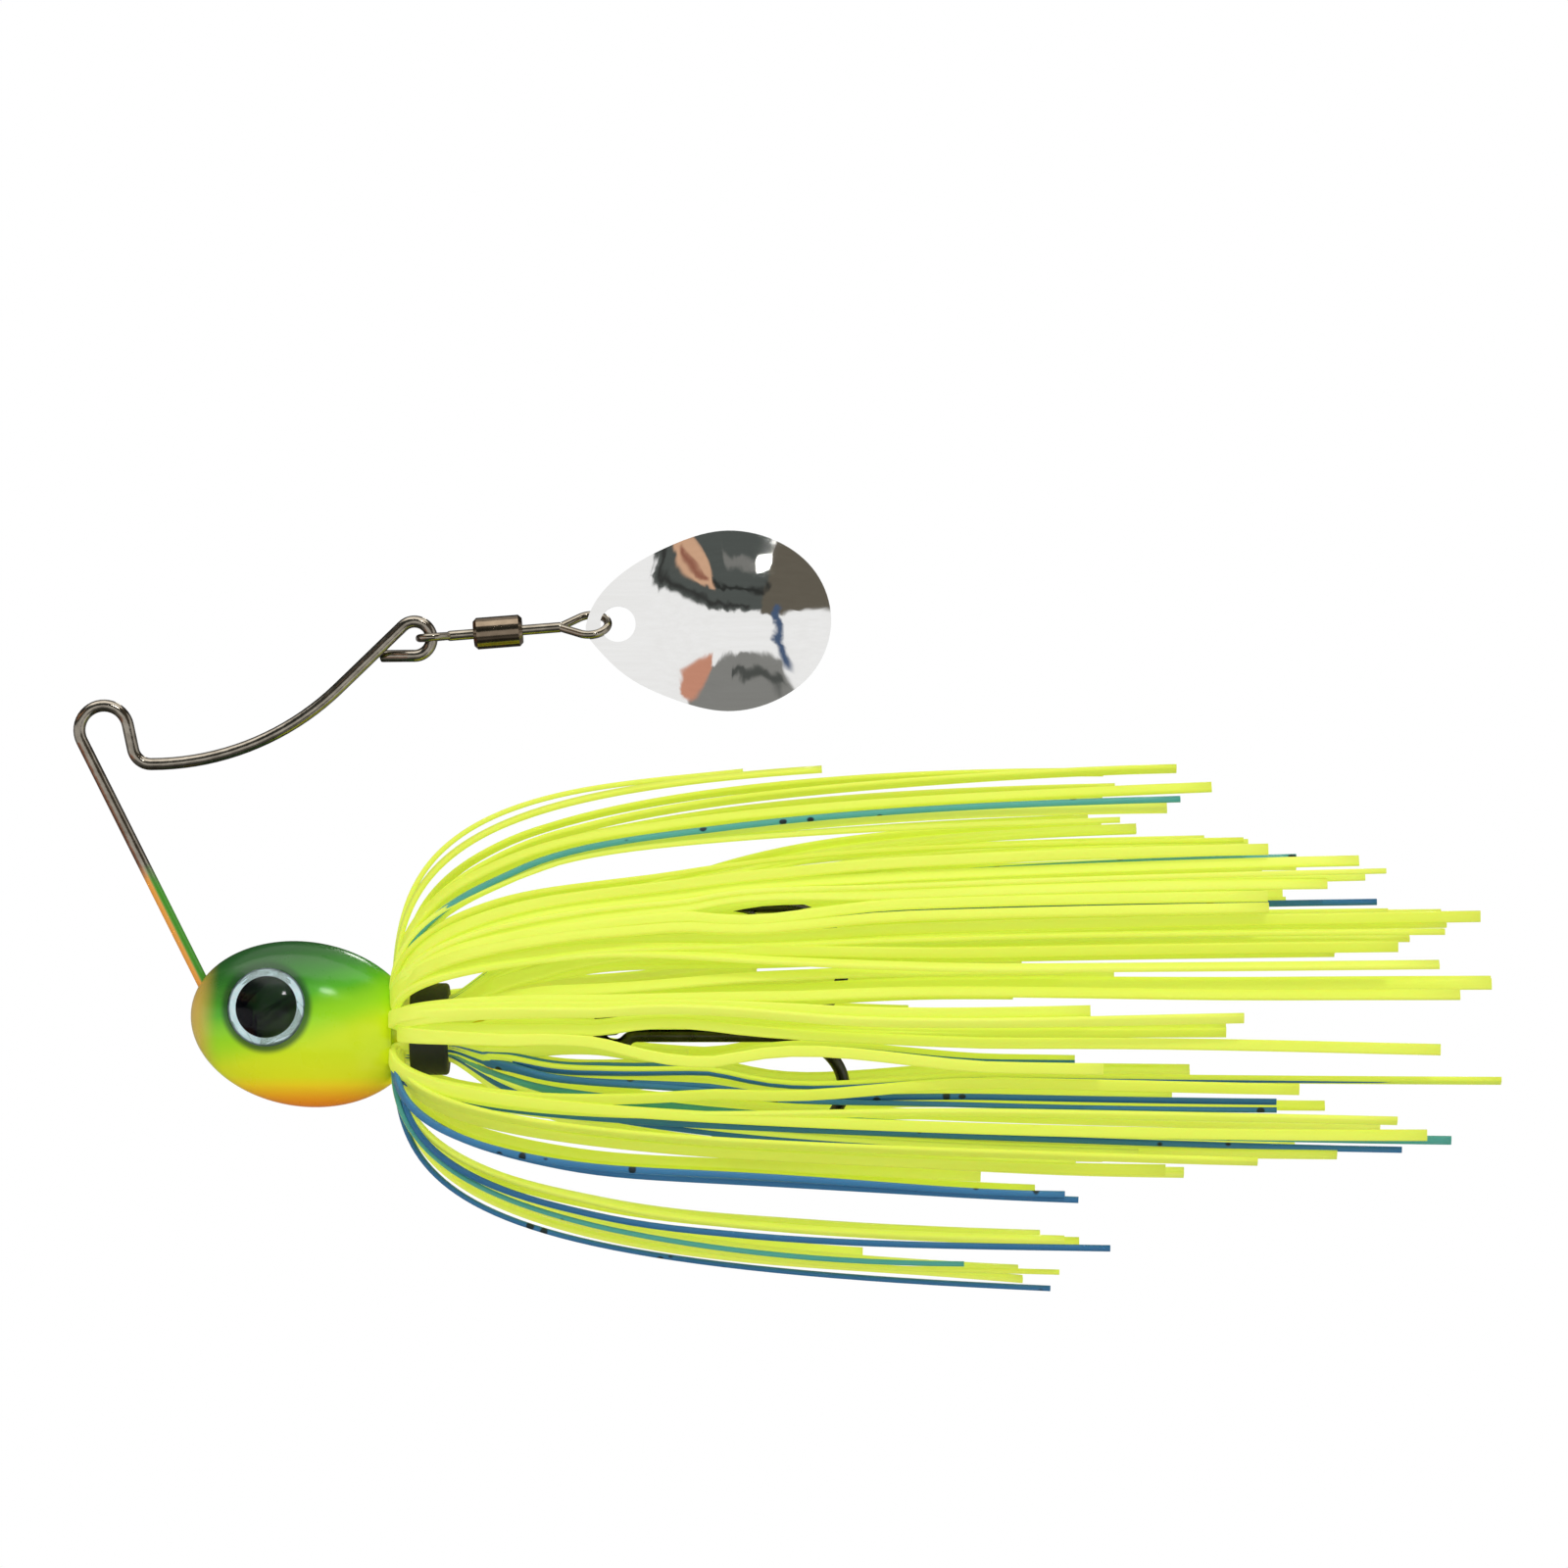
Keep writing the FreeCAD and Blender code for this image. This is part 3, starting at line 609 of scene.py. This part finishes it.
def band_rubber():
    """Black rubber with a fine grain."""
    nodes = Nodes("band_black")
    grain = nodes.noise(1500, 4.0)
    nodes.colour(nodes.blend(grain, srgb(18, 18, 24), srgb(38, 38, 46)))
    nodes.roughness(grain, 0.45, 0.7)
    nodes.bump(grain, 0.00003)
    return nodes.material


def eye_foil(node):
    """Silver foil with a fine radial sparkle round a black pupil; the silver glows, painted light
    that makes up for the shade under the clear cap.
    """
    low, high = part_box(node)
    middle = (low + high) / 2
    nodes = Nodes(f"foil_{node}")
    shift = nodes.add("ShaderNodeVectorMath", operation="DISTANCE")
    nodes.link(nodes.position(), shift.inputs[0])
    shift.inputs[1].default_value = middle
    distance = shift.outputs["Value"]
    radius = (high[2] - low[2]) / 2
    sparkle = nodes.noise(2400, 4.0)
    silver = nodes.blend(sparkle, srgb(186, 212, 216), srgb(238, 250, 250))
    edge = nodes.between(distance, radius * 0.93, radius * 0.99)
    silver = nodes.blend(edge, silver, srgb(96, 112, 112))
    pupil = nodes.between(distance, radius * 0.795, radius * 0.775)
    colour = nodes.blend(pupil, silver, srgb(2, 2, 6))
    nodes.colour(colour)
    # Painted light: the silver ring glows in its own colour to brighten it against the shade under
    # the clear cap; the black pupil barely glows.
    nodes.link(colour, nodes.shader.inputs["Emission Color"])
    nodes.set(Emission_Strength=0.35)
    nodes.set(Specular_IOR_Level=0.02)
    nodes.link(nodes.value("MULTIPLY", nodes.value("SUBTRACT", 1.0, pupil), 0.15),
               nodes.shader.inputs["Metallic"])
    nodes.roughness(sparkle, 0.22, 0.42)
    return nodes.material


def eye_clear():
    """Clear cap with the faintest surface unevenness."""
    nodes = Nodes("eye_clear")
    nodes.set(Base_Color=(0.97, 0.99, 1.0, 1.0), Transmission_Weight=1.0, IOR=1.25)
    nodes.roughness(nodes.noise(300), 0.0, 0.03)
    nodes.bump(nodes.noise(260, 1.0), 0.00002)
    return nodes.material


def dress(node, material):
    """Gives a CAD node its material."""
    mesh = frame["nodes"][node].data
    if not mesh.materials:
        mesh.materials.append(material)
    for number in range(len(mesh.materials)):
        mesh.materials[number] = material


def dress_cad():
    """A material for every node that stays as the CAD model made it."""
    nickel = plated("swivel_black_nickel", srgb(88, 81, 69), srgb(178, 170, 154), 0.08, 0.18)
    barrel = plated("barrel_black_nickel", srgb(88, 76, 62), srgb(150, 134, 114), 0.1, 0.2)
    black = plated("hook_black_nickel", srgb(34, 34, 30), srgb(84, 82, 74), 0.2, 0.36)
    dress("wire_frame", frame_wire_metal())
    dress("hook_hanger", plated("hanger_steel", srgb(70, 66, 58), srgb(140, 134, 120), 0.2, 0.36))
    dress("head_casting", head_paint())
    dress("skirt_band", band_rubber())
    dress("blade", blade_plate())
    dress("double_hook", black)
    dress("swivel_front_eye", nickel)
    dress("swivel_rear_eye", nickel)
    dress("swivel_barrel", barrel)
    clear = eye_clear()
    for side in ("left", "right"):
        dress(f"{side}_eye_foil", eye_foil(f"{side}_eye_foil"))
        dress(f"{side}_eye_lens", clear)


# ---- studio ------------------------------------------------------------------------------
# What polished parts mirror of the room, in front of its white walls: dark and coloured
# furniture, the lamp, a dark floor and a bright ceiling. Each patch has the directions it
# fills, across and up, as shares of a unit arrow, and its colour.
WALL = (0.93, 0.93, 0.94, 1)
ROOM_PATCHES = (
    ((-1.0, 0.66), (0.16, 0.74), (0.085, 0.095, 0.09, 1)),
    ((0.28, 0.78), (0.1, 0.78), (0.13, 0.115, 0.09, 1)),
    ((-0.7, 0.3), (0.36, 0.42), (0.03, 0.032, 0.03, 1)),
    ((-0.8, 0.1), (0.2, 0.25), (0.04, 0.042, 0.04, 1)),
    ((-0.3, 0.16), (0.58, 0.64), (0.2, 0.2, 0.19, 1)),
    ((0.17, 0.27), (0.56, 0.65), (38.0, 37.4, 36.6, 1)),
    ((-1.0, 0.4), (-0.78, -0.4), (0.24, 0.24, 0.23, 1)),
    ((-0.2, 0.36), (-0.56, -0.5), (0.08, 0.085, 0.08, 1)),
    ((-1.0, -0.55), (0.33, 0.52), (0.66, 0.4, 0.26, 1)),
    ((-1.0, -0.6), (0.39, 0.43), (0.3, 0.12, 0.08, 1)),
    ((-1.0, -0.56), (-0.48, -0.32), (0.6, 0.28, 0.19, 1)),
    ((0.4, 0.46), (-0.44, 0.2), (0.07, 0.11, 0.2, 1)),
    ((-1.2, 1.2), (-1.2, -0.76), (0.06, 0.06, 0.055, 1)),
    ((-1.2, 1.2), (0.8, 1.2), (2.4, 2.35, 2.3, 1)),
)
FAR_WALL = (0.03, 0.03, 0.027, 1)
FAR_SHADE = 0.7                 # how much of it covers the room behind the lure
PATCH_EDGE = 0.02
DIFFUSE_LIGHT = 0.74

FLOOR_HALF = 4.2                # half the floor's side
FLOOR_MIDDLE = (0.055, 0.05, -0.6)
LURE_MIDDLE = (0.05, 0, -0.012)
KEY_PLACE = (0.21, -0.46, 0.42)
FILL_PLACE = (-0.35, -0.5, 0.1)
FOCAL_LENGTH = 150              # in mm, as the camera states it
PICTURE_WIDTH = 0.128           # what the picture shows at the lure
PICTURE_X, PICTURE_Z = 0.05552, -0.0044


def room_colour(graph):
    """The colour of the room in every direction."""
    direction = graph.add("ShaderNodeTexCoord").outputs["Generated"]
    split = graph.add("ShaderNodeSeparateXYZ")
    graph.link(direction, split.inputs[0])
    ripple = graph.add("ShaderNodeTexNoise")
    ripple.inputs["Scale"].default_value = 6.0
    ripple.inputs["Detail"].default_value = 3.0
    graph.link(direction, ripple.inputs["Vector"])
    shift = graph.value("MULTIPLY_ADD", ripple.outputs["Fac"], 0.16, -0.08)
    across = graph.value("ADD", split.outputs["X"], shift)      # wavers, as in pressed metal
    up = graph.value("ADD", split.outputs["Z"], shift)
    colour = WALL
    for (left, right), (low, high), shade in ROOM_PATCHES:
        share = graph.between(across, left - PATCH_EDGE, left + PATCH_EDGE)
        for value, limit, way in ((across, right, 1), (up, low, -1), (up, high, 1)):
            edge = graph.between(value, limit + way * PATCH_EDGE, limit - way * PATCH_EDGE)
            share = graph.value("MULTIPLY", share, edge)
        colour = graph.blend(share, colour, shade)
    behind = graph.value("MULTIPLY", graph.between(split.outputs["Y"], 0.0, 0.15), FAR_SHADE)
    return graph.blend(behind, colour, FAR_WALL)


def world():
    """A white room; polished metal also sees its darker furniture."""
    scene_world = bpy.data.worlds.new("room")
    bpy.context.scene.world = scene_world
    scene_world.use_nodes = True
    graph = Graph(scene_world.node_tree)
    graph.tree.nodes.clear()
    room = graph.add("ShaderNodeBackground")
    graph.link(room_colour(graph), room.inputs["Color"])
    backdrop = graph.add("ShaderNodeBackground")
    backdrop.inputs["Color"].default_value = (1, 1, 1, 1)
    soft = graph.add("ShaderNodeBackground")
    soft.inputs["Color"].default_value = (1, 1, 1, 1)
    soft.inputs["Strength"].default_value = DIFFUSE_LIGHT
    path = graph.add("ShaderNodeLightPath")
    seen = soft
    for ray, light in (("Is Camera Ray", backdrop), ("Is Glossy Ray", room)):
        choice = graph.add("ShaderNodeMixShader")
        graph.link(path.outputs[ray], choice.inputs["Fac"])
        graph.link(seen.outputs[0], choice.inputs[1])
        graph.link(light.outputs[0], choice.inputs[2])
        seen = choice
    graph.link(seen.outputs[0], graph.add("ShaderNodeOutputWorld").inputs["Surface"])


def floor():
    """A plain pale floor, so far under the lure that its far edge is out of the picture."""
    half = FLOOR_HALF
    mesh = bpy.data.meshes.new("floor")
    mesh.from_pydata([(-half, -half, 0), (half, -half, 0), (half, half, 0), (-half, half, 0)],
                     [], [(0, 1, 2, 3)])
    ground = bpy.data.objects.new("floor", mesh)
    ground.location = FLOOR_MIDDLE
    bpy.context.collection.objects.link(ground)
    nodes = Nodes("floor_white")
    nodes.colour(nodes.blend(nodes.noise(12), srgb(240, 240, 238), srgb(248, 248, 247)))
    nodes.set(Roughness=0.8)
    mesh.materials.append(nodes.material)
    ground.visible_glossy = False


def lamp(name, place, size, power):
    """A square soft lamp that faces the lure and isn't mirrored in it."""
    light = bpy.data.lights.new(name, "AREA")
    light.size = size
    light.energy = power
    lamp_object = bpy.data.objects.new(name, light)
    lamp_object.location = place
    towards = Vector(LURE_MIDDLE) - Vector(place)
    lamp_object.rotation_euler = towards.to_track_quat("-Z", "Y").to_euler()
    bpy.context.collection.objects.link(lamp_object)
    lamp_object.visible_glossy = False


def camera():
    """Looks along +Y from the lure's left with a long lens."""
    lens = bpy.data.cameras.new("camera")
    lens.lens = FOCAL_LENGTH
    viewer = bpy.data.objects.new("camera", lens)
    viewer.location = (PICTURE_X, -PICTURE_WIDTH * lens.lens / lens.sensor_width, PICTURE_Z)
    viewer.rotation_euler = (math.pi / 2, 0, 0)
    bpy.context.collection.objects.link(viewer)
    bpy.context.scene.camera = viewer


def main():
    build_skirt()
    dress_cad()
    world()
    floor()
    lamp("key", KEY_PLACE, size=0.07, power=0.8)
    lamp("fill", FILL_PLACE, size=0.4, power=0.3)
    camera()
    bpy.context.scene.view_settings.view_transform = "Standard"


main()
